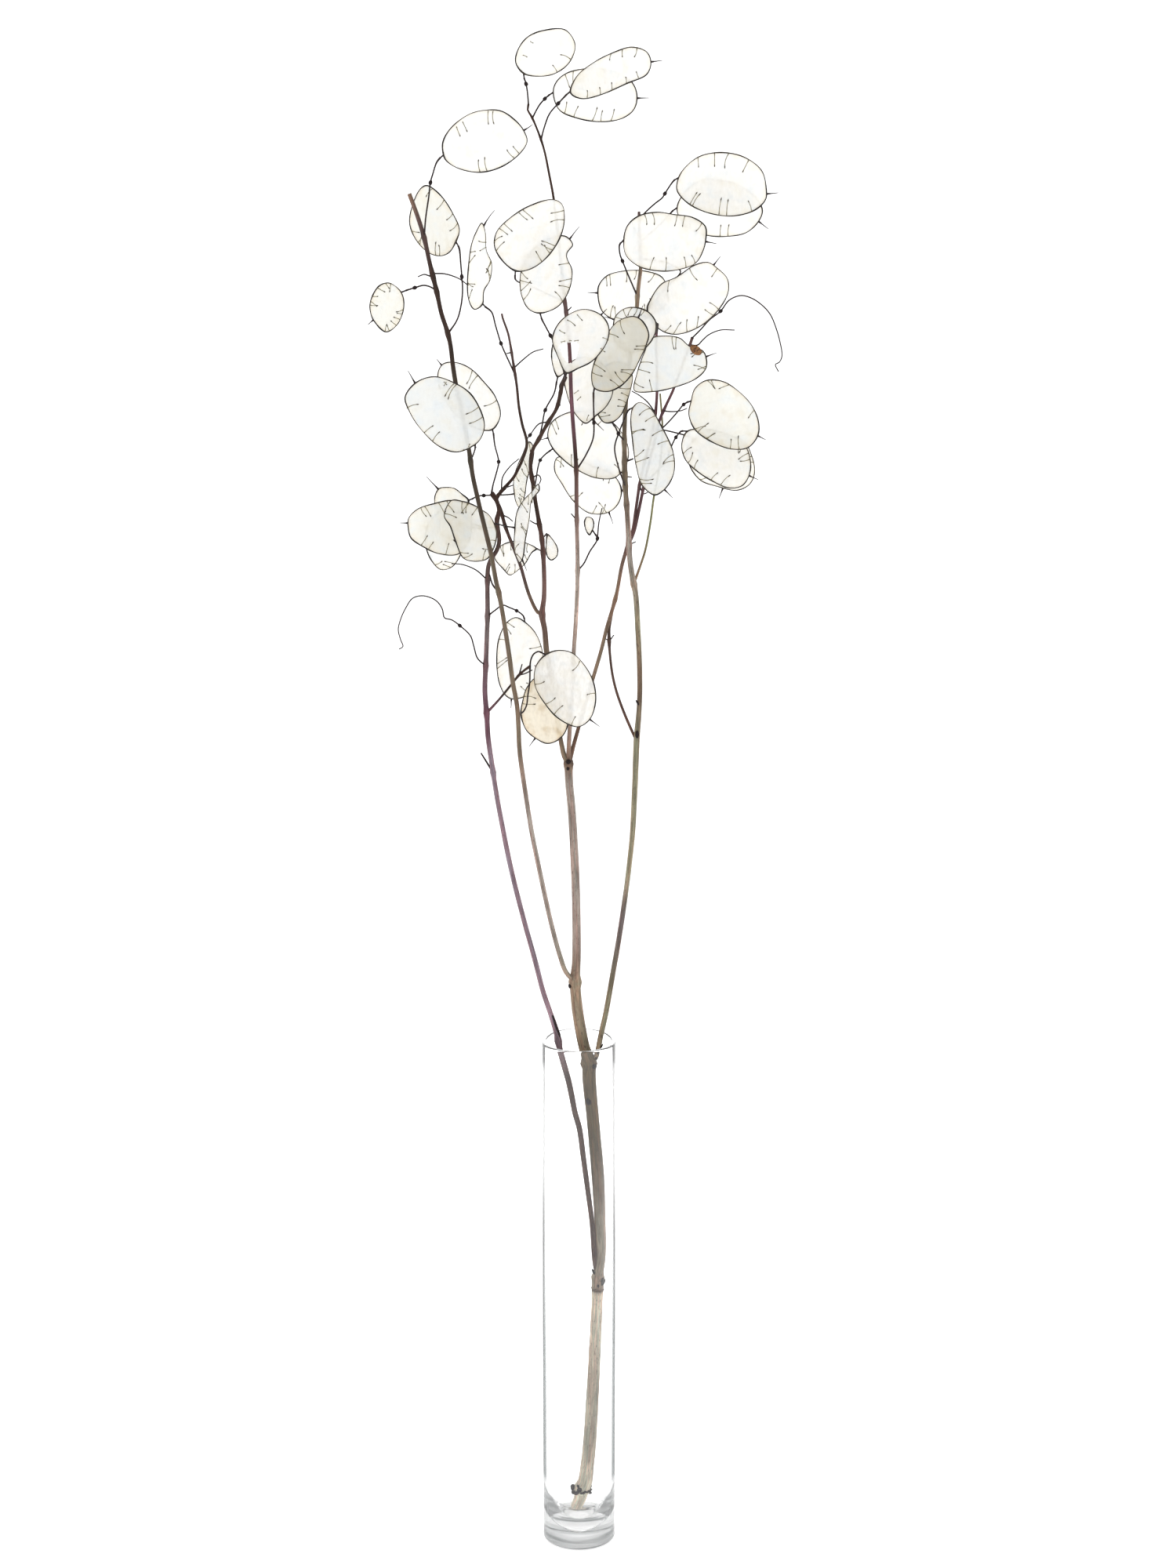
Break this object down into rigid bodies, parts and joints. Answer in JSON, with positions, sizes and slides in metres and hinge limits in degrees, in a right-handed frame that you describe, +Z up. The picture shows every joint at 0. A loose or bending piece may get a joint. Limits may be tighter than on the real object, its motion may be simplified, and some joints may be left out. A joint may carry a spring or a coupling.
{
  "type": "honesty seed pod stem in a glass tube vase",
  "caption": "Dried honesty stem with papery, moon-like seed pod walls on thin dark stalks, branching out of a tall clear glass tube vase.",
  "frame": {"origin": "centre of the vase's underside", "axes": "+Z up along the vase, -Y toward the viewer that faces the broad side of the pods, +X to that viewer's right"},
  "size_m": [0.2153, 0.1231, 0.8493],
  "materials": {
    "clear_glass": "clear, polished, smooth",
    "dried_stem": "dry grey-brown to purple-brown bark, matt, paler inside the vase",
    "septum": "thin silvery-cream papery skin, satin, with a dark brown rim and seed threads",
    "brown_remnant": "dry brown, matt"
  },
  "bodies": {
    "root": {"glass_vase": "clear_glass", "stem": "dried_stem", "pod_arch_1": "septum", "pod_arch_2": "septum", "pod_arch_3": "septum", "pod_arch_4": "septum", "pod_arch_5": "septum", "pod_crown_1": "septum", "pod_crown_2": "septum", "pod_crown_3": "septum", "pod_inner_1": "septum", "pod_inner_2": "septum", "pod_inner_3": "septum", "pod_inner_4": "septum", "pod_left_1": "septum", "pod_left_2": "septum", "pod_left_3": "septum", "pod_left_4": "septum", "pod_low_1": "septum", "pod_low_2": "septum", "pod_low_3": "septum", "pod_low_4": "septum", "pod_low_5": "septum", "pod_low_6": "septum", "pod_low_7": "septum", "pod_middle_1": "septum", "pod_middle_10": "septum", "pod_middle_2": "septum", "pod_middle_3": "septum", "pod_middle_4": "septum", "pod_middle_5": "septum", "pod_middle_6": "septum", "pod_middle_7": "septum", "pod_middle_8": "septum", "pod_middle_9": "septum", "pod_right_1": "septum", "pod_right_2": "septum", "pod_right_3": "septum", "pod_right_4": "septum", "pod_right_5": "septum", "pod_right_6": "septum", "pod_right_7": "septum", "pod_right_8": "septum", "brown_seed": "brown_remnant"}
  },
  "joints": []
}
